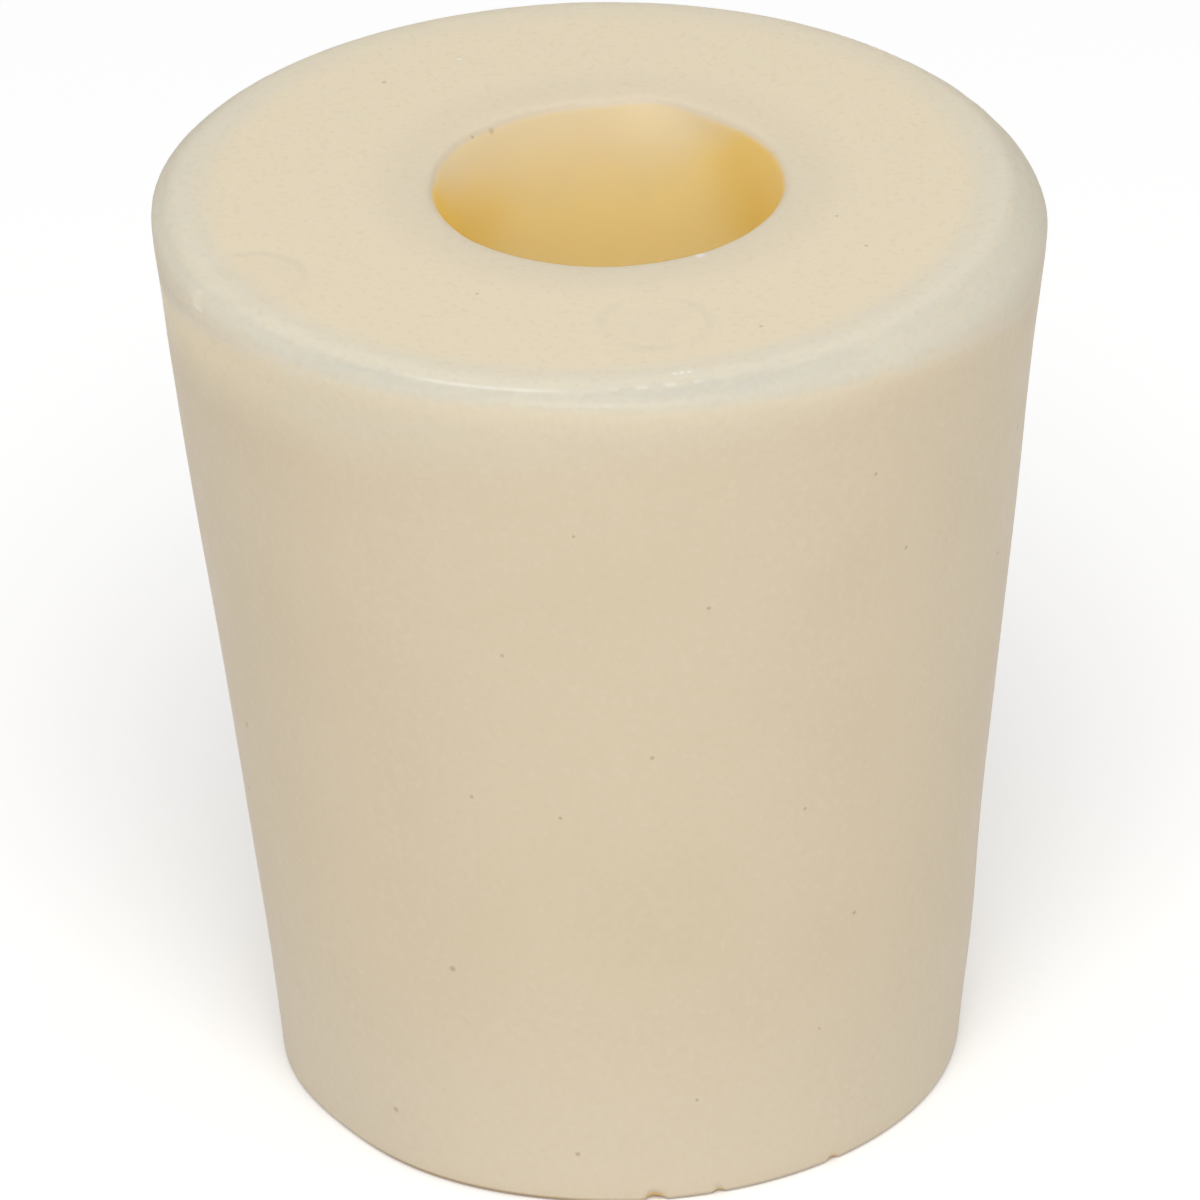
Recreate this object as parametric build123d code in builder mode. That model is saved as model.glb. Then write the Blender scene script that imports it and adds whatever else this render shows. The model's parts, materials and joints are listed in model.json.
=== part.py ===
from build123d import *
import os
from math import cos, radians, sin, sqrt

# Rubber stopper, moulded in one piece: a tapered plug with one bore right through it.
# It stands on its small end. The origin is the centre of that end, and +Z is the taper's
# axis, up to the wide end. Lengths are in millimetres and angles in degrees from +X.

# Overall sizes
wide_end_diameter = 24.0
small_end_diameter = 18.4
stopper_length = 26.0
bore_diameter = 9.2
bore_off_centre = 0.2       # the bore runs this far on the +X side of the taper's axis

# The wall is a straight taper that turns a little more upright above the small end
foot_height = 5.0
foot_flare = 0.12           # how far the small end stands out of the straight taper

# Moulded edges
bore_lip_radius = 0.30
small_end_edge_radius = 0.22

# The wide end's outer edge is trimmed with a slightly domed bevel, cut off centre, so
# that it is wider on one side than on the other
trim_width = 0.92           # mean width of the bevel on the end face
trim_rise = 0.08            # how far the bevel's middle stands above a flat one
trim_off_centre = 0.42
trim_widest_angle = 45.0
trim_blend_radius = 0.30    # softens the two edges of the bevel

# Two round marks on the wide end, left where the moulding was trimmed flush
mark_diameter = 2.9
mark_groove_width = 0.30
mark_groove_depth = 0.05
mark_places = [(8.1, -80.5), (9.85, 206.5)]   # distance from the axis, angle

# Small V-shaped chips out of the two outer edges: angle round the edge, depth of the chip
small_end_chips = [(-85.0, 0.30), (-74.0, 0.14), (-52.0, 0.18)]
wide_end_chips = [(16.0, 0.22), (-21.0, 0.20), (-152.0, 0.18)]

wide_end_radius = wide_end_diameter / 2
small_end_radius = small_end_diameter / 2
bore_radius = bore_diameter / 2


def taper_radius(height):
    """Radius of the straight taper at a height above the small end."""
    radius_at_base = small_end_radius - foot_flare
    return radius_at_base + (wide_end_radius - radius_at_base) * height / stopper_length


# Trim envelope: everything that the knife leaves when it runs round the wide end.
# Its section is an arc through the two ends of the mean bevel, run on past both.
trim_chord = trim_width * sqrt(2)
trim_arc_radius = (trim_chord ** 2 / 4 + trim_rise ** 2) / (2 * trim_rise)
trim_centre_depth = trim_width / 2 + (trim_arc_radius - trim_rise) / sqrt(2)
trim_arc_centre = (wide_end_radius - trim_centre_depth, stopper_length - trim_centre_depth)
trim_axis = (
    -trim_off_centre * cos(radians(trim_widest_angle)),
    -trim_off_centre * sin(radians(trim_widest_angle)),
)
trim_plane = Plane(origin=(*trim_axis, 0), x_dir=(1, 0, 0), z_dir=(0, -1, 0))
envelope_bottom = -1.0      # clear below the small end

with BuildPart() as trim_envelope:
    with BuildSketch(trim_plane) as envelope_section:
        with BuildLine() as envelope_outline:
            crown = CenterArc(trim_arc_centre, trim_arc_radius, 0, 90)
            flank = Line(crown @ 0, ((crown @ 0).X, envelope_bottom))
            base = Line(flank @ 1, (0, envelope_bottom))
            middle = Line(base @ 1, (0, (crown @ 1).Y))
            Line(middle @ 1, crown @ 1)
        make_face()
    revolve(axis=Axis((*trim_axis, 0), (0, 0, 1)))

with BuildPart() as stopper:
    # tapered body with its foot
    with BuildSketch(Plane.XZ) as body_section:
        with BuildLine() as body_outline:
            foot_top = (taper_radius(foot_height), foot_height)
            wall = Line((wide_end_radius, stopper_length), foot_top)
            foot = TangentArc(wall @ 1, (small_end_radius, 0), tangent=wall % 1)
            small_end = Line(foot @ 1, (0, 0))
            axis_line = Line(small_end @ 1, (0, stopper_length))
            Line(axis_line @ 1, wall @ 0)
        make_face()
        small_end_corner = body_section.vertices().sort_by_distance((small_end_radius, 0))[0]
        fillet(small_end_corner, radius=small_end_edge_radius)
    revolve(axis=Axis.Z)

    # off-centre trim of the wide end's outer edge, with both edges of the bevel softened
    add(trim_envelope.part, mode=Mode.INTERSECT)
    end_face = stopper.faces().sort_by(Axis.Z)[-1]
    tapered_wall = stopper.faces().filter_by(GeomType.CONE)[0]
    wall_top = tapered_wall.edges().sort_by(Axis.Z)[-1]
    fillet(end_face.outer_wire().edges() + [wall_top], radius=trim_blend_radius)

    # bore, with a rounded lip at both ends
    with Locations((bore_off_centre, 0, stopper_length)):
        Hole(radius=bore_radius)
    bore_wall = stopper.faces().filter_by(GeomType.CYLINDER)[0]
    fillet(bore_wall.edges().filter_by(GeomType.CIRCLE), radius=bore_lip_radius)

    # round marks on the wide end, each a shallow ring-shaped groove
    with BuildSketch(Plane.XY.offset(stopper_length)) as mark_section:
        for distance, angle in mark_places:
            with PolarLocations(distance, 1, start_angle=angle):
                Circle(mark_diameter / 2)
                Circle(mark_diameter / 2 - mark_groove_width, mode=Mode.SUBTRACT)
    extrude(amount=-mark_groove_depth, mode=Mode.SUBTRACT)

    # chips in the outer edges: a square bar on its corner, lying across the edge it breaks
    for angle, depth in small_end_chips:
        side = depth * sqrt(2)
        with PolarLocations(small_end_radius, 1, start_angle=angle):
            Box(2 * depth, side, side, rotation=(45, 0, 0), mode=Mode.SUBTRACT)
    for angle, depth in wide_end_chips:
        side = depth * sqrt(2)
        local_width = trim_width + trim_off_centre * cos(radians(angle - trim_widest_angle))
        with Locations(Plane.XY.offset(stopper_length - local_width / 2)):
            with PolarLocations(wide_end_radius - local_width / 2, 1, start_angle=angle):
                Box(2 * depth, side, side, rotation=(45, 0, 0), mode=Mode.SUBTRACT)

stopper.part.label = "stopper"
os.makedirs("parts", exist_ok=True)
export_step(stopper.part, "parts/stopper.step")
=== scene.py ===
import json
import math

import bmesh
import bpy
from mathutils import Matrix, Vector, noise


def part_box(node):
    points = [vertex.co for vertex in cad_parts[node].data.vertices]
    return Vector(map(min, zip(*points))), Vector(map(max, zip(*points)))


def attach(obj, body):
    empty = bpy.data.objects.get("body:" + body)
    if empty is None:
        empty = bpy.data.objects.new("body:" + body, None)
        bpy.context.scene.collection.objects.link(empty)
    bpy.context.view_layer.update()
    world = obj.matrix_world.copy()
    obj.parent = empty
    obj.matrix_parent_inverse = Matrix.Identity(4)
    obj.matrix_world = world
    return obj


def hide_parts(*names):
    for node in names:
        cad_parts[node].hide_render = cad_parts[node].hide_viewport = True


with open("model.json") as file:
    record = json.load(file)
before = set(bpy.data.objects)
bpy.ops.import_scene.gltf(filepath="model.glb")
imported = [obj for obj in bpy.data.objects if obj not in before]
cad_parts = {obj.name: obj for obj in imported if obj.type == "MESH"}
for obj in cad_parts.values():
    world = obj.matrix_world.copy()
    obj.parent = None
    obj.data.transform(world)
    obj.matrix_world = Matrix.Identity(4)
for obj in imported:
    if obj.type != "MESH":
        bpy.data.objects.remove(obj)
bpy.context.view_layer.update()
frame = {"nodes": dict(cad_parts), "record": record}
print("frame loaded:", sorted(frame["nodes"]))

mm = 0.001                      # the dictionaries hold millimetres, and degrees from +X
tolerance = 0.001               # in millimetres
boreMount = next(m for m in frame["record"]["mounts"] if m["name"] == "bore")
boreRadius = boreMount["dims"]["r_mm"]
boreShift = boreMount["pos_m"][0] / mm
stopperLength = (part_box("stopper")[1].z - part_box("stopper")[0].z) / mm
stopperMiddle = Vector((0, 0, stopperLength / 2)) * mm

# The stopper. Colours are as they look in daylight, 0 to 255. Two or four numbers in brackets are
# a ramp, unless a note says otherwise: where it starts and where it is full, then its two
# strengths if they aren't 0 and 1.
stopper = {
    "wideRadius": 12.0,
    "smallRadius": 9.2,
    "footHeight": 5.0,          # the wall turns a little more upright below this
    "footFlare": 0.12,
    "boreLip": 0.30,
    "smallEdge": 0.22,
    "boreBlend": 3.0,           # how far round the bore the ends stretch to meet it

    "mesh": {
        "turnSteps": 320,
        "shoulder": 2.2,        # band of fine mesh each side of the wide end's corner
        "cornerReach": 0.5,     # a point this near to a corner of the section belongs to it
        # in the bore, small end, foot, wall, the shoulder below and above its corner, wide end
        "rings": (30, 12, 14, 36, 30, 30, 26),
        "upperLipSteps": 6,
        "lowerLipSteps": 4,
        "smallEdgeSteps": 4,
    },

    # the knife's trim round the wide end: an arc run round an axis a little off the stopper's own
    "trim": {
        "width": 0.92,
        "rise": 0.08,
        "offCentre": 0.42,
        "widestAngle": 45.0,
        "handWobble": 0.05,     # how far the knife strays from its circle
        "wobbleWaves": 2.3,
        "fineWobble": 0.35,     # as a share of the slow wobble
        "fineWaves": 6,
        "edgeDepth": 0.1,       # tells the cut's upper edge from its lower one
        "upperReach": 11,       # rings of mesh eased beside each edge of the cut
        "upperRounds": 60,
        "lowerReach": 9,
        "lowerRounds": 24,
    },

    # thin ridge that the knife left along the front of its cut, broken up towards its right end
    "burr": {
        "depth": 0.12,
        "width": 0.035,
        "rise": 0.018,
        "from": -117.0,
        "to": -71.0,
        "brokenFrom": -98.0,
        "runOut": 3.0,          # degrees over which an end fades
        "breakIn": 2.0,
        "pieces": 62,           # round the whole turn
        "pieceEdge": (-0.1, 0.5),
        "innermost": 10.8,
        # painted highlight: the burr's glint is laid in this colour, as a streak and short dashes; the
        # pale flecks on the wide end take it too
        "colour": (236, 233, 226),
        "shineWidth": (0.045, 0.005),
        "shineOutside": (10.9, 11.05),
        "streak": (-119.0, -93.5),      # from and to
        "streakStrength": 0.38,
        "dashes": (-92.0, -75.0),
        "dashCount": 96,
        "dashEdge": (-0.1, 0.7),
        "dashStrength": 0.3,
    },

    # the small end's edge is pressed flat over a short stretch at the left
    "flatSpot": {"angle": -148.0, "spread": 17.0, "within": 60.0, "reach": 1.8, "depth": 0.19,
                 "boreMargin": 2.0},

    # hand-made unevenness of the moulding
    "moulding": {
        "waves": ((7.0, 0.030), (1.6, 0.006), (0.75, 0.0025)),      # size and depth of each
        "riseEnds": (22.0, 24.2),       # outward swells die out between these heights
        "restHeight": 0.6,              # and all of them below this one
        "lipWander": 0.05,
        "lipWaves": 0.9,
    },

    # places where the wall stands a little out of or into its taper
    "wallBulges": [
        {"angle": 2.0, "spread": 45.0, "height": 3.6, "reach": 2.6, "depth": 0.14},
        {"angle": 2.0, "spread": 40.0, "height": 20.5, "reach": 2.8, "depth": -0.06},
        {"angle": 186.0, "spread": 45.0, "height": 20.0, "reach": 4.5, "depth": 0.05},
    ],
    "bulgeMargin": 1.0,         # they leave this much round the bore alone

    # marks and damage, each at its angle round the stopper
    "roundMarks": [
        {"distance": 8.1, "angle": -80.5, "radius": 1.40, "groove": 0.20, "depth": 0.025, "dish": 0.01},
        {"distance": 10.4, "angle": 208.3, "radius": 1.35, "groove": 0.24, "depth": 0.03, "dish": 0.04},
    ],
    "markDetail": {
        "deepest": 0.3,                 # points further below the end are left alone
        "dishEdge": (0.7, 1.1),         # as a share of the mark's radius
        "ragged": (0.7, 0.6),           # level, and how far noise moves it
        "raggedWaves": 1.3,
        "colour": (214, 203, 180),
        "ringWidth": (0.22, 0.06),
        "insideBeyond": 0.1,
        "insideShare": 0.6,
        "insideStrength": 0.35,
        "cloudShare": 0.6,
        "broken": (0.42, 0.60, 0.05, 0.42),
    },
    "leftOver": {"distance": 10.85, "angle": 207.5, "radius": 0.42},    # the second mark goes round it
    "smallEndChips": [
        {"angle": -85.0, "height": 0.04, "radius": 0.36, "depth": 0.13},
        {"angle": -74.0, "height": 0.02, "radius": 0.22, "depth": 0.08},
        {"angle": -52.5, "height": 0.02, "radius": 0.26, "depth": 0.07},
    ],
    "wideEndNicks": [
        {"angle": 14.0, "height": 25.35, "radius": 0.34, "depth": 0.20},
        {"angle": -22.0, "height": 25.45, "radius": 0.30, "depth": 0.14},
        {"angle": -27.0, "height": 25.55, "radius": 0.22, "depth": 0.10},
        {"angle": 207.0, "height": 25.60, "radius": 0.30, "depth": 0.10},
    ],
    "chipDetail": {
        "sink": 0.02,
        "fineReach": 2.2,               # finer mesh this far round a chip, in its radii
        "fineCuts": 2,
        "reach": 1.6,
        "ragged": 0.35,
        "raggedWaves": 5.0,
        "colour": (212, 168, 92),
        "colourEdge": (1.1, 0.6),
        "strength": 0.8,
    },
    "boreLipTear": {"angle": 73.0, "spread": 13.0, "depth": 0.30, "fade": 0.9, "under": 0.02},

    "wall": {
        "colour": (212, 196, 168),
        "patchColour": (203, 186, 156),
        "patches": (0.35, 0.72, 0.0, 0.3),
        # painted light: paler where light leaves again just under the trim
        "glow": (214, 203, 179),
        "glowSide": (230, 214, 179),
        "glowTurn": (0.05, 0.5),
        "glowLean": 0.1,                # it reaches further down at the left
        "glowWaver": 0.8,
        "glowReach": (3.4, 1.1, 0.0, 0.8),
        # painted light: the wall turns paler towards the small end, standing in for light thrown up from
        # the floor
        "foot": (214, 201, 178),
        "footReach": (9.0, 0.5, 0.0, 0.75),
    },

    # whitened trim: a narrow band at the front that reaches further down the wall at both sides
    "scuff": {
        "narrowAngle": -98.0,
        "narrow": 0.32,
        "widening": 2.0,
        "widest": 1.85,
        "waver": 0.5,
        "lowerEdge": (0.50, -0.30),     # below and above the band's own depth
        "innerEdge": (9.7, 10.8),
        "behind": (1.2, 1.8, 1.0, 0.45),
        "streaks": (0.16, 2.0, 0.6),    # noise: size, detail, roughness
        "streakPull": 2.0,
        "streakEdge": (0.30, 0.60, 0.78, 1.0),
        "endColour": (219, 212, 193),
        # painted light and shade: under the end's edge the cut turns darker than the end colour, and it
        # is darker at the front, where it faces the softbox, than at the sides
        "trimColour": (199, 195, 181),
        "sideColour": (209, 203, 186),
        "wallColour": (214, 205, 187),
        "sideTurn": (0.03, 0.35),
        "belowEnd": (0.0, 0.22),
        "belowTrim": (-0.2, 0.25),
        "roughness": 0.85,
    },

    "rubber": {
        "endFace": (230, 216, 187),
        "onTop": (0.35, 0.02),
        "halo": (222, 209, 183),        # greyish ring round the bore's lip
        "haloReach": (7.0, 4.9),
        "clouds": (6.0, 1.0, 0.55),     # noises: size, detail, roughness
        "mottle": (1.4, 2.0, 0.6),
        "powder": (0.22, 1.0, 0.7),
        "palePowder": (0.50, 0.80, 0.0, 0.20),
        "darkPowder": (0.50, 0.25, 0.0, 0.18),
        "gloss": 0.32,
        "roughness": 0.42,
        "roughnessSpread": 0.16,
        "ior": 1.52,
        "scatterDepth": (5.0, 2.0, 0.0, 1.0),
        "wallScatter": (1.6, 1.35, 0.9),        # how far light strays in red, green and blue
        "boreScatter": (9.0, 8.0, 6.5),
    },

    # golden bore, with painted light and shade: amber at its two sides, where less light falls, pale
    # where light reaches the top of its back wall, and lighter deeper down, where little light reaches
    "bore": {
        "gold": (229, 207, 146),
        "deep": (246, 225, 161),
        "deepFrom": (1.0, 9.0),
        "pale": (219, 201, 163),
        "paleAngle": 107.0,
        "paleTurn": (0.25, 1.0),
        "paleDepth": 3.0,
        "paleLeast": 0.2,
        "patches": (0.8, 0.6),          # how far noise moves the pale depth, and its level
        "goldFrom": (0.1, 1.2),
        "amber": (227, 194, 104),
        "amberLean": 0.07,              # it reaches further in at the left
        "amberTurn": (0.45, 0.9),
        "amberDepth": (5.0, 2.5),
        "side": (222, 190, 115),
        "sideTurn": (0.45, 1.0),
        "sideDepth": (3.0, 0.8),
        "lip": (210, 196, 173),
        "lipTurn": (-0.1, 0.6),
        "lipDepth": (0.20, 0.06),
        "lipOutside": (0.0, 0.08),      # depths over which the lip's grey begins
        "lipStrength": 0.55,
        "inside": (0.03, 0.20),         # depths over which the bore's own colour begins
        "beyond": (1.4, 1.0),           # counted outwards from the bore's radius
    },

    # painted shadow: brown line in the small end's edge
    "stain": {"colour": (166, 126, 66), "from": -147.0, "to": -86.0, "height": (0.20, 0.10),
              "strength": 0.8, "run": 0.7, "elsewhere": 0.2},

    # small dark specks in the wall: angle, height, size
    "wallSpecks": [
        (-116.6, 7.2, 0.10), (-130.7, 1.84, 0.10), (-84.7, 14.5, 0.07), (-76.9, 19.1, 0.07),
        (-160.2, 11.8, 0.10), (-166.5, 9.2, 0.09), (-14.8, 19.9, 0.10), (-19.2, 16.5, 0.07),
        (-61.4, 12.0, 0.06), (-51.1, 8.0, 0.07), (-111.0, 13.0, 0.06), (-98.0, 12.6, 0.06),
        (-94.6, 21.6, 0.05), (-105.0, 17.7, 0.06), (-77.9, 3.2, 0.06), (-97.6, 1.6, 0.08),
        (-46.2, 19.2, 0.07), (-52.8, 22.0, 0.06), (-139.0, 1.24, 0.05), (-56.6, 4.6, 0.05),
    ],
    # the same on the wide end and the bore's lip: distance, angle, how far below the end, size
    "endSpecks": [
        (4.55, 129.6, 0.20, 0.11), (4.55, 138.0, 0.13, 0.06), (8.42, 132.8, 0.0, 0.07),
        (8.0, -30.0, 0.0, 0.06), (9.3, -64.0, 0.0, 0.06), (11.2, 13.5, 0.1, 0.12),
        (11.72, -24.7, 0.3, 0.12), (11.74, -22.0, 0.3, 0.09), (11.74, -13.1, 0.4, 0.09),
        (7.0, -118.0, 0.0, 0.05), (6.6, -20.0, 0.0, 0.05),
    ],
    # pale flecks on the wide end: distance, angle, size
    "paleFlecks": [
        (4.98, -59.2, 0.16), (8.32, 116.4, 0.08), (10.98, -80.6, 0.07), (10.98, -79.6, 0.08),
        (10.98, -78.6, 0.07), (11.75, -152.5, 0.14),
    ],
    "speckDetail": {
        "colour": (150, 128, 96),
        "edge": (1.3, 0.3),             # as a share of a speck's size
        "strength": 0.5,
        "fleckEdge": (1.3, 0.4),
        "fleckStrength": 0.8,
    },
}


def onEndFace(distance, angle):
    turn = math.radians(angle)
    return Vector((math.cos(turn) * distance, math.sin(turn) * distance, stopperLength))


def onWall(angle, height):
    turn = math.radians(angle)
    radius = taperRadius(height)
    return Vector((radius * math.cos(turn), radius * math.sin(turn), height))


def taperRadius(height):
    smallRadius = stopper["smallRadius"] - stopper["footFlare"]
    straight = smallRadius + (stopper["wideRadius"] - smallRadius) * height / stopperLength
    aboveFoot = max(0.0, 1 - height / stopper["footHeight"])
    return straight + stopper["footFlare"] * aboveFoot ** 2


def polar(vert):
    return math.hypot(vert.co.x, vert.co.y) / mm, vert.co.z / mm


def angleOf(vert):
    return math.degrees(math.atan2(vert.co.y, vert.co.x))


def angleFrom(middle, angle):
    return (angle - middle + 180) % 360 - 180


def smoothStep(value, low, high):
    share = min(1.0, max(0.0, (value - low) / (high - low)))
    return share * share * (3 - 2 * share)


def bell(*offsets):
    return math.exp(-sum(offset ** 2 for offset in offsets))


def besideLip(radius, reach):
    # 1 up to the bore's lip, 0 from the given distance outside it
    return 1 - min(1.0, max(0.0, radius - boreRadius - stopper["boreLip"]) / reach)


def sectionCorners():
    # half section, down the bore from the wide end, across the small end and up the wall
    shoulder = stopper["mesh"]["shoulder"]
    footHeight = stopper["footHeight"]
    below = stopperLength - shoulder
    return [
        (boreRadius, stopperLength),
        (boreRadius, 0),
        (stopper["smallRadius"], 0),
        (taperRadius(footHeight), footHeight),
        (taperRadius(below), below),
        (stopper["wideRadius"], stopperLength),
        (stopper["wideRadius"] - shoulder, stopperLength),
    ]


def spinSection(bm):
    verts = [bm.verts.new((radius * mm, 0, height * mm)) for radius, height in sectionCorners()]
    edges = [bm.edges.new((a, b)) for a, b in zip(verts, verts[1:] + verts[:1])]
    bmesh.ops.spin(bm, geom=verts + edges, cent=(0, 0, 0), axis=(0, 0, 1), angle=2 * math.pi,
                   steps=stopper["mesh"]["turnSteps"], use_merge=True, use_duplicate=False)
    bmesh.ops.remove_doubles(bm, verts=bm.verts[:], dist=tolerance * mm)
    bmesh.ops.recalc_face_normals(bm, faces=bm.faces[:])


def isNear(vert, corner, reach):
    radius, height = polar(vert)
    return abs(radius - corner[0]) < reach and abs(height - corner[1]) < reach


def roundCorner(bm, corner, width, segments):
    ring = [e for e in bm.edges if all(isNear(v, corner, tolerance) for v in e.verts)]
    bmesh.ops.bevel(bm, geom=ring, offset=width * mm, offset_type="OFFSET", segments=segments,
                    profile=0.5, affect="EDGES", material=-1)


def addRings(bm, start, end, count):
    # loop cuts through the edges that run from one corner of the section to the next
    reach = stopper["mesh"]["cornerReach"]
    across = []
    for e in bm.edges:
        a, b = e.verts
        if isNear(a, start, reach) and isNear(b, end, reach):
            across.append(e)
        elif isNear(b, start, reach) and isNear(a, end, reach):
            across.append(e)
    bmesh.ops.subdivide_edges(bm, edges=across, cuts=count, use_grid_fill=True)


def cutRings(bm):
    corners = sectionCorners()
    for start, end, count in zip(corners, corners[1:] + corners[:1], stopper["mesh"]["rings"]):
        addRings(bm, start, end, count)


def shapeFoot(bm):
    for v in bm.verts:
        radius, height = polar(v)
        if radius > stopper["smallRadius"] - tolerance and height < stopper["footHeight"]:
            scale = taperRadius(height) / radius
            v.co.x *= scale
            v.co.y *= scale


def flattenEdge(bm):
    flat = stopper["flatSpot"]
    for v in bm.verts:
        radius, height = polar(v)
        offAngle = angleFrom(flat["angle"], angleOf(v))
        if radius < boreRadius + flat["boreMargin"] or abs(offAngle) > flat["within"]:
            continue
        share = bell(offAngle / flat["spread"], height / flat["reach"])
        scale = 1 - flat["depth"] * share * (radius / stopper["smallRadius"]) ** 2 / radius
        v.co.x *= scale
        v.co.y *= scale


def soften(bm, verts, reach, rounds):
    # ease a line of the mesh and the rings beside it
    wide = set(verts)
    for _ in range(reach):
        wide |= {e.other_vert(v) for v in wide for e in v.link_edges}
    inOrder = [v for v in bm.verts if v in wide]        # a set's own order changes from run to run
    for _ in range(rounds):
        bmesh.ops.smooth_vert(bm, verts=inOrder, factor=0.5, use_axis_x=True, use_axis_y=True,
                              use_axis_z=True)


def trimWideEnd(bm):
    # press every point that stands outside the knife's arc back onto it
    cut = stopper["trim"]
    chord = cut["width"] * math.sqrt(2)
    arcRadius = (chord ** 2 / 4 + cut["rise"] ** 2) / (2 * cut["rise"])
    centreDepth = cut["width"] / 2 + (arcRadius - cut["rise"]) / math.sqrt(2)
    arcDistance = stopper["wideRadius"] - centreDepth
    arcHeight = stopperLength - centreDepth
    turn = math.radians(cut["widestAngle"])
    axis = Vector((-math.cos(turn), -math.sin(turn), 0)) * cut["offCentre"]
    trimmed = []
    for v in bm.verts:
        away = Vector((v.co.x / mm, v.co.y / mm, 0)) - axis
        outward = away.length - arcDistance
        upward = v.co.z / mm - arcHeight
        if outward <= 0 or upward <= 0:
            continue
        facing = away.normalized()
        waves = facing * cut["wobbleWaves"]
        stray = cut["handWobble"] * noise.noise(waves)
        stray += cut["fineWobble"] * cut["handWobble"] * noise.noise(waves * cut["fineWaves"])
        reach = math.hypot(outward, upward)
        if reach > arcRadius + stray:
            pull = (arcRadius + stray) / reach
            place = axis + facing * (arcDistance + outward * pull)
            v.co = Vector((place.x * mm, place.y * mm, (arcHeight + upward * pull) * mm))
            trimmed.append(v)
    onTrim = set(trimmed)
    border = [v for v in trimmed if any(e.other_vert(v) not in onTrim for e in v.link_edges)]
    upper = {v for v in border if v.co.z / mm > stopperLength - cut["edgeDepth"]}
    soften(bm, upper, cut["upperReach"], cut["upperRounds"])
    soften(bm, set(border) - upper, cut["lowerReach"], cut["lowerRounds"])
    return len(trimmed)


def shiftBore(bm):
    # the bore and its lips sit beside the taper's axis, and the end faces stretch to meet them
    for v in bm.verts:
        v.co.x += boreShift * mm * besideLip(polar(v)[0], stopper["boreBlend"])


def unevenSkin(bm):
    # swells, ripples and grain along each point's own normal; nothing rises past the two ends or
    # the widest place
    skin = stopper["moulding"]
    bm.normal_update()
    for v in bm.verts:
        radius, height = polar(v)
        rise = sum(noise.noise(v.co / mm / size) * depth for size, depth in skin["waves"])
        if radius > boreRadius + stopper["bulgeMargin"]:
            for bulge in stopper["wallBulges"]:
                turned = angleFrom(bulge["angle"], angleOf(v)) / bulge["spread"]
                lifted = (height - bulge["height"]) / bulge["reach"]
                rise += bulge["depth"] * bell(turned, lifted)
        if rise > 0:
            rise *= 1 - smoothStep(height, *skin["riseEnds"])
        rested = min(1.0, height / skin["restHeight"])
        v.co += v.normal * rise * rested * mm


def raiseBurr(bm):
    burr = stopper["burr"]
    bm.normal_update()
    for v in bm.verts:
        radius, height = polar(v)
        angle = angleOf(v)
        if radius < burr["innermost"] or not burr["from"] < angle < burr["to"]:
            continue
        ends = smoothStep(angle, burr["from"], burr["from"] + burr["runOut"])
        ends *= 1 - smoothStep(angle, burr["to"] - burr["runOut"], burr["to"])
        broken = smoothStep(angle, burr["brokenFrom"], burr["brokenFrom"] + burr["breakIn"])
        piece = smoothStep(math.sin(math.radians(angle) * burr["pieces"]), *burr["pieceEdge"])
        share = ends * (1 - broken * (1 - piece))
        ridge = bell((stopperLength - height - burr["depth"]) / burr["width"])
        v.co += v.normal * burr["rise"] * ridge * share * mm


def tearBoreLip(bm):
    tear = stopper["boreLipTear"]
    skin = stopper["moulding"]
    lowest = stopperLength - stopper["boreLip"] - tear["under"]
    for v in bm.verts:
        x = v.co.x / mm - boreShift
        y = v.co.y / mm
        radius = math.hypot(x, y)
        fade = besideLip(radius, tear["fade"])
        if v.co.z / mm < lowest or fade == 0:
            continue
        offAngle = angleFrom(tear["angle"], math.degrees(math.atan2(y, x)))
        wander = skin["lipWander"] * noise.noise(Vector((x, y, 0)) * skin["lipWaves"])
        push = tear["depth"] * bell(offAngle / tear["spread"]) + wander
        v.co.x += x / radius * push * fade * mm
        v.co.y += y / radius * push * fade * mm


def pressRoundMarks(bm):
    detail = stopper["markDetail"]
    leftOver = stopper["leftOver"]
    spot = onEndFace(leftOver["distance"], leftOver["angle"])
    for mark in stopper["roundMarks"]:
        centre = onEndFace(mark["distance"], mark["angle"])
        inner, outer = (mark["radius"] * share for share in detail["dishEdge"])
        for v in bm.verts:
            if v.co.z / mm < stopperLength - detail["deepest"]:
                continue
            place = Vector((v.co.x / mm, v.co.y / mm))
            away = (place - centre.xy).length
            groove = bell((away - mark["radius"]) / mark["groove"]) * mark["depth"]
            dish = (1 - smoothStep(away, inner, outer)) * mark["dish"]
            level, spread = detail["ragged"]
            waves = Vector((place.x, place.y, 0)) * detail["raggedWaves"]
            ragged = level + spread * noise.noise(waves)
            spared = 1 - bell((place - spot.xy).length / leftOver["radius"])
            v.co.z -= (groove + dish) * ragged * spared * mm


def chipEdge(bm, chip, inward):
    # a scoop out of the edge, ragged at its border
    detail = stopper["chipDetail"]
    turn = math.radians(chip["angle"])
    facing = Vector((math.cos(turn), math.sin(turn), 0))
    centre = facing * (taperRadius(chip["height"]) - detail["sink"]) + Vector((0, 0, chip["height"]))
    fineReach = chip["radius"] * detail["fineReach"]
    near = [e for e in bm.edges if all((v.co / mm - centre).length < fineReach for v in e.verts)]
    bmesh.ops.subdivide_edges(bm, edges=near, cuts=detail["fineCuts"], use_grid_fill=True)
    push = (-facing + Vector((0, 0, inward))).normalized()
    for v in bm.verts:
        away = (v.co / mm - centre).length
        if away < chip["radius"] * detail["reach"]:
            ragged = 1 + detail["ragged"] * noise.noise(v.co / mm * detail["raggedWaves"])
            share = max(0.0, 1 - (away / (chip["radius"] * ragged)) ** 2)
            v.co += push * chip["depth"] * share * mm


def asObject(bm, name):
    mesh = bpy.data.meshes.new(name)
    bm.to_mesh(mesh)
    bm.free()
    piece = bpy.data.objects.new(name, mesh)
    bpy.context.scene.collection.objects.link(piece)
    return piece


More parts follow.
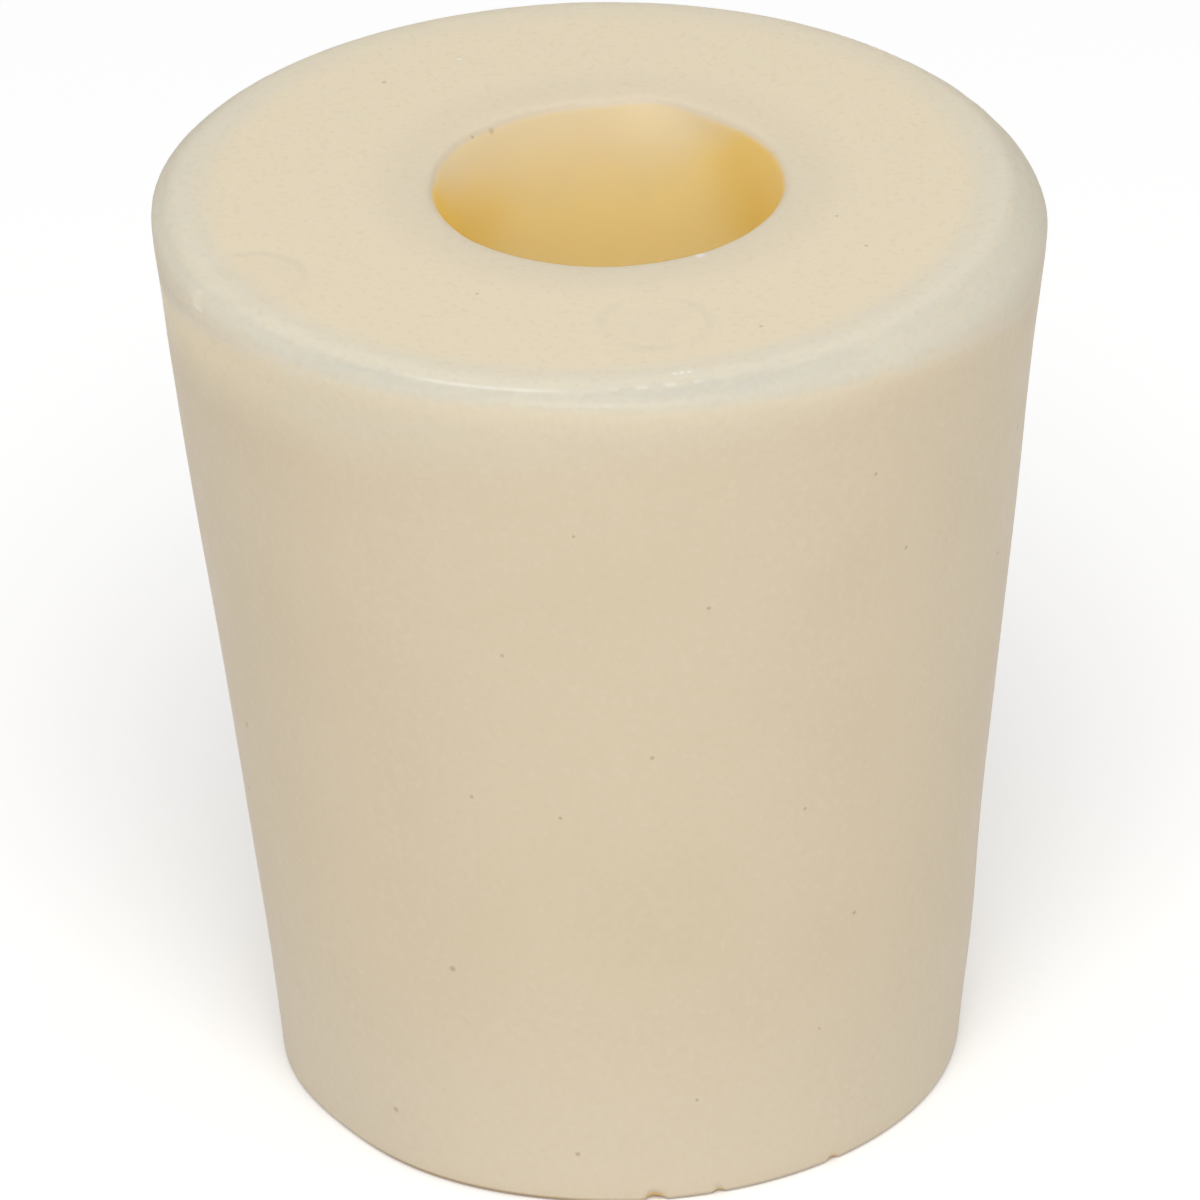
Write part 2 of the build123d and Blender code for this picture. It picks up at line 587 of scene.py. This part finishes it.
def makeStopper():
    mesh = stopper["mesh"]
    upperLip, lowerLip, smallEdge = sectionCorners()[:3]
    bm = bmesh.new()
    spinSection(bm)
    roundCorner(bm, upperLip, stopper["boreLip"], mesh["upperLipSteps"])
    roundCorner(bm, lowerLip, stopper["boreLip"], mesh["lowerLipSteps"])
    roundCorner(bm, smallEdge, stopper["smallEdge"], mesh["smallEdgeSteps"])
    cutRings(bm)
    shapeFoot(bm)
    flattenEdge(bm)
    print("stopper turned:", len(bm.verts), "points")
    print("wide end trimmed:", trimWideEnd(bm), "points on the bevel")
    shiftBore(bm)
    unevenSkin(bm)
    raiseBurr(bm)
    tearBoreLip(bm)
    pressRoundMarks(bm)
    for chip in stopper["smallEndChips"]:
        chipEdge(bm, chip, 1.0)
    for nick in stopper["wideEndNicks"]:
        chipEdge(bm, nick, -1.0)
    bmesh.ops.recalc_face_normals(bm, faces=bm.faces[:])
    for face in bm.faces:
        face.smooth = True
    print("skin, marks and chips made:", len(bm.faces), "faces")
    return asObject(bm, "stopperBody")


def daylight(colour):
    linear = []
    for value in colour:
        c = value / 255
        linear.append(c / 12.92 if c <= 0.04045 else ((c + 0.055) / 1.055) ** 2.4)
    return (*linear, 1.0)


class NodeBench:
    # makes and links nodes; a value may be a socket, a number or a vector
    def __init__(self, owner):
        self.tree = owner.node_tree
        self.tree.nodes.clear()

    def add(self, kind, **settings):
        node = self.tree.nodes.new(kind)
        for name, value in settings.items():
            setattr(node, name, value)
        return node

    def feed(self, socket, value):
        if isinstance(value, bpy.types.NodeSocket):
            self.tree.links.new(value, socket)
        else:
            socket.default_value = value

    def calc(self, operation, first, second=0.0, third=0.0):
        node = self.add("ShaderNodeMath", operation=operation)
        for socket, value in zip(node.inputs, (first, second, third)):
            self.feed(socket, value)
        return node.outputs[0]

    def times(self, first, *others):
        for other in others:
            first = self.calc("MULTIPLY", first, other)
        return first

    def vector(self, operation, first, second=(0, 0, 0)):
        node = self.add("ShaderNodeVectorMath", operation=operation)
        self.feed(node.inputs[0], first)
        if operation == "SCALE":
            node.inputs["Scale"].default_value = second
        else:
            self.feed(node.inputs[1], second)
        return node.outputs["Value" if operation in ("LENGTH", "DISTANCE") else "Vector"]

    def ramp(self, value, low, high, outLow=0.0, outHigh=1.0):
        node = self.add("ShaderNodeMapRange", interpolation_type="SMOOTHSTEP")
        for socket, entry in zip(node.inputs, (value, low, high, outLow, outHigh)):
            self.feed(socket, entry)
        return node.outputs[0]

    def span(self, turn, start, end, fadeShare=0.3):
        # 1 between two angles, fading near each
        start, end = math.radians(start), math.radians(end)
        fade = (end - start) * fadeShare
        return self.times(self.ramp(turn, start, start + fade), self.ramp(turn, end, end - fade))

    def towards(self, x, y, angle):
        # how far a point lies out from the axis in one direction
        turn = math.radians(angle)
        return self.calc("MULTIPLY_ADD", x, math.cos(turn), self.calc("MULTIPLY", y, math.sin(turn)))

    def dot(self, place, centre, size, edge):
        # 1 in the middle of a small round spot
        away = self.vector("DISTANCE", place, tuple(centre))
        return self.ramp(away, size * edge[0], size * edge[1])

    def tint(self, share, under, over):
        # lays one colour over another; a colour is a socket or a daylight colour
        node = self.add("ShaderNodeMix", data_type="RGBA")
        self.feed(node.inputs[0], share)
        for socket, colour in zip(node.inputs[6:8], (under, over)):
            self.feed(socket, daylight(colour) if isinstance(colour, tuple) else colour)
        return node.outputs[2]

    def mixVector(self, share, under, over):
        node = self.add("ShaderNodeMix", data_type="VECTOR")
        self.feed(node.inputs[0], share)
        self.feed(node.inputs[4], under)
        self.feed(node.inputs[5], over)
        return node.outputs[1]

    def grain(self, place, size, detail, rough):
        node = self.add("ShaderNodeTexNoise")
        self.feed(node.inputs["Vector"], place)
        node.inputs["Scale"].default_value = 1 / size
        node.inputs["Detail"].default_value = detail
        node.inputs["Roughness"].default_value = rough
        return node.outputs["Fac"]


class StopperPlaces:
    # sockets that tell where on the stopper a shaded point lies
    def __init__(self, bench):
        rubber, bore, cut = stopper["rubber"], stopper["bore"], stopper["trim"]
        self.place = bench.vector("SCALE", bench.add("ShaderNodeTexCoord").outputs["Object"], 1 / mm)
        split = bench.add("ShaderNodeSeparateXYZ")
        bench.feed(split.inputs[0], self.place)
        self.x, self.y, self.height = split.outputs
        self.depth = bench.calc("SUBTRACT", stopperLength, self.height)
        self.angle = bench.calc("ARCTAN2", self.y, self.x)
        self.onTop = bench.ramp(self.depth, *rubber["onTop"])
        flat = bench.vector("MULTIPLY", self.place, (1, 1, 0))
        fromAxis = bench.vector("LENGTH", flat)

        # 0 where the scuffed band is narrowest, 1 a quarter turn from there, 2 behind
        facing = bench.towards(self.x, self.y, stopper["scuff"]["narrowAngle"])
        self.aslant = bench.calc("MULTIPLY_ADD", bench.calc("DIVIDE", facing, fromAxis), -1.0, 1.0)

        turn = math.radians(cut["widestAngle"])
        cutAxis = (-cut["offCentre"] * math.cos(turn), -cut["offCentre"] * math.sin(turn), 0)
        self.fromCutAxis = bench.vector("LENGTH", bench.vector("SUBTRACT", flat, cutAxis))
        toWidest = bench.calc("DIVIDE", bench.towards(self.x, self.y, cut["widestAngle"]), fromAxis)
        self.trimDepth = bench.calc("MULTIPLY_ADD", toWidest, cut["offCentre"], cut["width"])

        self.fromBore = bench.vector("LENGTH", bench.vector("SUBTRACT", flat, (boreShift, 0, 0)))
        toPale = bench.towards(self.x, self.y, bore["paleAngle"])
        self.boreBack = bench.calc("DIVIDE", toPale, self.fromBore)
        self.nearBore = bench.ramp(self.fromBore, *(boreRadius + beyond for beyond in bore["beyond"]))
        self.inBore = bench.times(bench.ramp(self.depth, *bore["inside"]), self.nearBore)

        self.clouds = bench.grain(self.place, *rubber["clouds"])
        self.mottle = bench.grain(self.place, *rubber["mottle"])
        self.powder = bench.grain(self.place, *rubber["powder"])


def wallColour(bench, at):
    wall = stopper["wall"]
    colour = bench.tint(bench.ramp(at.clouds, *wall["patches"]), wall["colour"], wall["patchColour"])
    # painted light just under the trim, paler at the sides
    glowDepth = bench.calc("MULTIPLY_ADD", at.x, wall["glowLean"], at.depth)
    glowDepth = bench.calc("MULTIPLY_ADD", at.clouds, wall["glowWaver"], glowDepth)
    glow = bench.tint(bench.ramp(at.aslant, *wall["glowTurn"]), wall["glow"], wall["glowSide"])
    colour = bench.tint(bench.ramp(glowDepth, *wall["glowReach"]), colour, glow)
    # painted light near the small end, thrown up from the floor
    return bench.tint(bench.ramp(at.height, *wall["footReach"]), colour, wall["foot"])


def scuffShare(bench, at):
    scuff = stopper["scuff"]
    reach = bench.calc("MULTIPLY_ADD", at.aslant, scuff["widening"], scuff["narrow"])
    reach = bench.calc("MINIMUM", reach, scuff["widest"])
    waver = bench.calc("MULTIPLY_ADD", at.mottle, scuff["waver"], -scuff["waver"] / 2)
    reach = bench.calc("ADD", reach, waver)
    streaks = bench.add("ShaderNodeCombineXYZ")
    along = bench.times(at.angle, scuff["streakPull"])
    for socket, value in zip(streaks.inputs, (at.fromCutAxis, at.height, along)):
        bench.feed(socket, value)
    streaky = bench.grain(streaks.outputs[0], *scuff["streaks"])
    return bench.times(
        bench.ramp(bench.calc("SUBTRACT", at.depth, reach), *scuff["lowerEdge"]),
        bench.ramp(at.fromCutAxis, *scuff["innerEdge"]),
        bench.ramp(streaky, *scuff["streakEdge"]),
        bench.ramp(at.aslant, *scuff["behind"]),
    )


def scuffWithPaintedLight(bench, at):
    scuff = stopper["scuff"]
    # whitened wear, with painted light and shade: the cut is darker at the front and under the end's
    # edge, lighter at the sides
    trim = bench.tint(bench.ramp(at.aslant, *scuff["sideTurn"]), scuff["trimColour"], scuff["sideColour"])
    white = bench.tint(bench.ramp(at.depth, *scuff["belowEnd"]), scuff["endColour"], trim)
    belowTrim = bench.calc("SUBTRACT", at.depth, at.trimDepth)
    return bench.tint(bench.ramp(belowTrim, *scuff["belowTrim"]), white, scuff["wallColour"])


def burrShine(bench, at):
    # painted highlight: the burr's glint is painted as one streak and a run of short dashes
    burr = stopper["burr"]
    fromBurr = bench.calc("ABSOLUTE", bench.calc("SUBTRACT", at.depth, burr["depth"]))
    line = bench.times(bench.ramp(fromBurr, *burr["shineWidth"]),
                       bench.ramp(at.fromCutAxis, *burr["shineOutside"]))
    waves = bench.calc("SINE", bench.times(at.angle, burr["dashCount"]))
    dashes = bench.times(bench.span(at.angle, *burr["dashes"]), bench.ramp(waves, *burr["dashEdge"]))
    streak = bench.times(bench.span(at.angle, *burr["streak"]), burr["streakStrength"])
    return bench.times(bench.calc("MULTIPLY_ADD", dashes, burr["dashStrength"], streak), line)


def tintMarks(bench, at, skin):
    # the round marks are broken rings, a shade greyer than the end face
    detail = stopper["markDetail"]
    patches = bench.calc("MULTIPLY_ADD", at.clouds, detail["cloudShare"],
                         bench.times(at.mottle, 1 - detail["cloudShare"]))
    broken = bench.ramp(patches, *detail["broken"])
    for mark in stopper["roundMarks"]:
        radius = mark["radius"]
        centre = onEndFace(mark["distance"], mark["angle"])
        away = bench.vector("DISTANCE", at.place, tuple(centre))
        fromRing = bench.calc("ABSOLUTE", bench.calc("SUBTRACT", away, radius))
        ring = bench.ramp(fromRing, *detail["ringWidth"])
        inside = bench.ramp(away, radius + detail["insideBeyond"], radius * detail["insideShare"],
                            0.0, detail["insideStrength"])
        share = bench.times(bench.calc("MAXIMUM", ring, inside), broken, at.onTop)
        skin = bench.tint(share, skin, detail["colour"])
    return skin


def tintSmallEnd(bench, at, skin):
    # painted shadow as a brown line in the edge, and the chips' golden insides
    stain = stopper["stain"]
    detail = stopper["chipDetail"]
    run = bench.calc("MULTIPLY_ADD", bench.span(at.angle, stain["from"], stain["to"]), stain["run"],
                     stain["elsewhere"])
    line = bench.times(bench.ramp(at.height, *stain["height"]), run, stain["strength"])
    skin = bench.tint(line, skin, stain["colour"])
    for chip in stopper["smallEndChips"]:
        spot = bench.dot(at.place, onWall(chip["angle"], 0), chip["radius"], detail["colourEdge"])
        skin = bench.tint(bench.times(spot, detail["strength"]), skin, detail["colour"])
    return skin


def boreColour(bench, at):
    bore = stopper["bore"]
    # painted light and shade: pale at the back wall's top, amber at the sides, lighter further down
    paleReach = bench.calc("MULTIPLY_ADD", bench.ramp(at.boreBack, *bore["paleTurn"]),
                           bore["paleDepth"], bore["paleLeast"])
    patches = bench.calc("MULTIPLY_ADD", at.mottle, *bore["patches"])
    farDown = bench.calc("DIVIDE", at.depth, bench.times(paleReach, patches))
    rightward = bench.calc("DIVIDE", at.x, at.fromBore)
    aside = bench.calc("ABSOLUTE", bench.calc("SUBTRACT", rightward, bore["amberLean"]))
    amber = bench.times(bench.ramp(aside, *bore["amberTurn"]), bench.ramp(at.depth, *bore["amberDepth"]))
    side = bench.times(bench.ramp(rightward, *bore["sideTurn"]), bench.ramp(at.depth, *bore["sideDepth"]))
    lip = bench.times(bench.ramp(at.depth, *bore["lipDepth"]), bench.ramp(at.boreBack, *bore["lipTurn"]))
    colour = bench.tint(bench.ramp(at.depth, *bore["deepFrom"]), bore["gold"], bore["deep"])
    colour = bench.tint(amber, colour, bore["amber"])
    colour = bench.tint(bench.ramp(farDown, *bore["goldFrom"]), bore["pale"], colour)
    colour = bench.tint(side, colour, bore["side"])
    return bench.tint(lip, colour, bore["lip"])


def lipOutside(bench, at):
    # the grey of the bore's lip, outside the bore and towards its back
    bore = stopper["bore"]
    back = bench.ramp(at.boreBack, *bore["lipTurn"], 0.0, bore["lipStrength"])
    return bench.times(bench.ramp(at.depth, *bore["lipOutside"]), at.nearBore, back)


def speckShare(bench, at):
    detail = stopper["speckDetail"]
    specks = [(onWall(angle, height), size) for angle, height, size in stopper["wallSpecks"]]
    for distance, angle, below, size in stopper["endSpecks"]:
        specks.append((onEndFace(distance, angle) - Vector((0, 0, below)), size))
    share = 0.0
    for centre, size in specks:
        share = bench.calc("MAXIMUM", share, bench.dot(at.place, centre, size, detail["edge"]))
    return bench.times(share, detail["strength"])


def rubberColour(bench, at, scuffed):
    rubber, burr, detail = stopper["rubber"], stopper["burr"], stopper["speckDetail"]
    skin = bench.tint(at.onTop, wallColour(bench, at), rubber["endFace"])
    skin = bench.tint(scuffed, skin, scuffWithPaintedLight(bench, at))
    # painted highlight along the burr
    skin = bench.tint(burrShine(bench, at), skin, burr["colour"])
    halo = bench.times(bench.ramp(at.fromBore, *rubber["haloReach"]), at.onTop)
    skin = bench.tint(halo, skin, rubber["halo"])
    skin = bench.tint(bench.ramp(at.powder, *rubber["palePowder"]), skin, stopper["scuff"]["endColour"])
    skin = bench.tint(bench.ramp(at.powder, *rubber["darkPowder"]), skin, stopper["wall"]["patchColour"])
    skin = tintMarks(bench, at, skin)
    for distance, angle, size in stopper["paleFlecks"]:
        fleck = bench.dot(at.place, onEndFace(distance, angle), size, detail["fleckEdge"])
        skin = bench.tint(bench.times(fleck, detail["fleckStrength"]), skin, burr["colour"])
    skin = tintSmallEnd(bench, at, skin)
    skin = bench.tint(lipOutside(bench, at), skin, stopper["bore"]["lip"])
    colour = bench.tint(at.inBore, skin, boreColour(bench, at))
    return bench.tint(speckShare(bench, at), colour, detail["colour"])


def gumRubber():
    material = bpy.data.materials.new("gumRubber")
    material.use_nodes = True
    bench = NodeBench(material)
    at = StopperPlaces(bench)
    rubber = stopper["rubber"]
    scuffed = scuffShare(bench, at)
    shader = bench.add("ShaderNodeBsdfPrincipled", subsurface_method="BURLEY")
    bench.feed(shader.inputs["Base Color"], rubberColour(bench, at, scuffed))
    spread = rubber["roughnessSpread"]
    roughness = bench.calc("MULTIPLY_ADD", at.mottle, spread, rubber["roughness"] - spread / 2)
    roughness = bench.calc("MAXIMUM", roughness, bench.times(scuffed, stopper["scuff"]["roughness"]))
    bench.feed(shader.inputs["Roughness"], roughness)
    shader.inputs["IOR"].default_value = rubber["ior"]
    shader.inputs["Specular IOR Level"].default_value = rubber["gloss"]
    # light travels further through the rubber to the bore, which glows with it
    scatter = bench.ramp(at.depth, *rubber["scatterDepth"])
    bench.feed(shader.inputs["Subsurface Weight"], bench.calc("MAXIMUM", scatter, at.inBore))
    bench.feed(shader.inputs["Subsurface Radius"],
               bench.mixVector(at.inBore, rubber["wallScatter"], rubber["boreScatter"]))
    shader.inputs["Subsurface Scale"].default_value = mm
    output = bench.add("ShaderNodeOutputMaterial")
    bench.feed(output.inputs["Surface"], shader.outputs[0])
    return material


stopperBody = makeStopper()
stopperBody.data.materials.append(gumRubber())
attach(stopperBody, "root")
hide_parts("stopper")
print("stopper finished:", len(stopperBody.data.polygons), "faces")

# white paper that keeps a soft shadow near the stopper and turns plain white far away, in metres
paper = {
    "size": 3.0,
    "colour": (250, 250, 250),
    "near": 0.05,
    "far": 0.45,
    "nearLift": 0.14,
    "farLift": 0.55,
}


def makeFloor():
    bm = bmesh.new()
    bmesh.ops.create_grid(bm, x_segments=1, y_segments=1, size=paper["size"] / 2)
    floor = asObject(bm, "floor")
    material = bpy.data.materials.new("whitePaper")
    material.use_nodes = True
    bench = NodeBench(material)
    diffuse = bench.add("ShaderNodeBsdfDiffuse")
    diffuse.inputs["Color"].default_value = daylight(paper["colour"])
    glow = bench.add("ShaderNodeEmission")
    seen = bench.add("ShaderNodeLightPath").outputs["Is Camera Ray"]
    away = bench.vector("LENGTH", bench.add("ShaderNodeTexCoord").outputs["Object"])
    lift = bench.ramp(away, paper["near"], paper["far"], paper["nearLift"], paper["farLift"])
    bench.feed(glow.inputs["Strength"], bench.times(seen, lift))
    both = bench.add("ShaderNodeAddShader")
    bench.feed(both.inputs[0], diffuse.outputs[0])
    bench.feed(both.inputs[1], glow.outputs[0])
    output = bench.add("ShaderNodeOutputMaterial")
    bench.feed(output.inputs["Surface"], both.outputs[0])
    floor.data.materials.append(material)


makeFloor()
print("floor laid")

# soft studio light: a white room, and one round softbox in front and above
studio = {
    "roomStrength": 0.57,       # the camera sees the room at 1, which is white
    "softboxPlace": (0, -290, 395),
    "softboxSize": 300,
    "softboxPower": 1.25,
}


def lightStudio():
    world = bpy.data.worlds.new("whiteRoom")
    bpy.context.scene.world = world
    world.use_nodes = True
    bench = NodeBench(world)
    room = bench.add("ShaderNodeBackground")
    room.inputs["Color"].default_value = (1, 1, 1, 1)
    seen = bench.add("ShaderNodeLightPath").outputs["Is Camera Ray"]
    strength = studio["roomStrength"]
    bench.feed(room.inputs["Strength"], bench.calc("MULTIPLY_ADD", seen, 1 - strength, strength))
    output = bench.add("ShaderNodeOutputWorld")
    bench.feed(output.inputs["Surface"], room.outputs[0])
    lamp = bpy.data.lights.new("softbox", "AREA")
    lamp.shape = "DISK"
    lamp.size = studio["softboxSize"] * mm
    lamp.energy = studio["softboxPower"]
    holder = bpy.data.objects.new("softbox", lamp)
    holder.location = Vector(studio["softboxPlace"]) * mm
    holder.rotation_mode = "QUATERNION"
    holder.rotation_quaternion = (stopperMiddle - holder.location).to_track_quat("-Z", "Y")
    bpy.context.scene.collection.objects.link(holder)


lightStudio()
print("studio lit")

# camera as the photograph was taken: long lens, looking down along +Y
shot = {
    "elevation": 28.85,
    "roll": -1.41,
    "distance": 402.8,
    "pixelsPerMm": 37.22,       # at the stopper, in a picture of 1200 pixels
    "pictureSize": 1200,
    "sensorWidth": 36.0,
    "aimRight": -10.65,         # aim beside the stopper's middle, in those pixels
    "aimUp": 12.38,
    "clipStart": 0.01,          # in metres
    "clipEnd": 10,
}


def placeCamera():
    camera = bpy.data.cameras.new("camera")
    camera.sensor_fit = "HORIZONTAL"
    camera.sensor_width = shot["sensorWidth"]
    camera.lens = shot["pixelsPerMm"] * shot["distance"] / shot["pictureSize"] * camera.sensor_width
    camera.dof.use_dof = False
    camera.clip_start = shot["clipStart"]
    camera.clip_end = shot["clipEnd"]
    holder = bpy.data.objects.new("camera", camera)
    tilt = math.radians(shot["elevation"])
    back = Vector((0, -math.cos(tilt), math.sin(tilt)))
    level = (-back).to_track_quat("-Z", "Y").to_matrix()
    roll = math.radians(shot["roll"])
    right = level @ Vector((math.cos(roll), math.sin(roll), 0))
    above = level @ Vector((-math.sin(roll), math.cos(roll), 0))
    holder.rotation_mode = "QUATERNION"
    holder.rotation_quaternion = Matrix((right, above, back)).transposed().to_quaternion()
    aside = right * shot["aimRight"] + above * shot["aimUp"]
    holder.location = stopperMiddle + back * shot["distance"] * mm + aside / shot["pixelsPerMm"] * mm
    bpy.context.scene.collection.objects.link(holder)
    bpy.context.scene.camera = holder


placeCamera()
bpy.context.scene.view_settings.view_transform = "Standard"
print("camera placed")
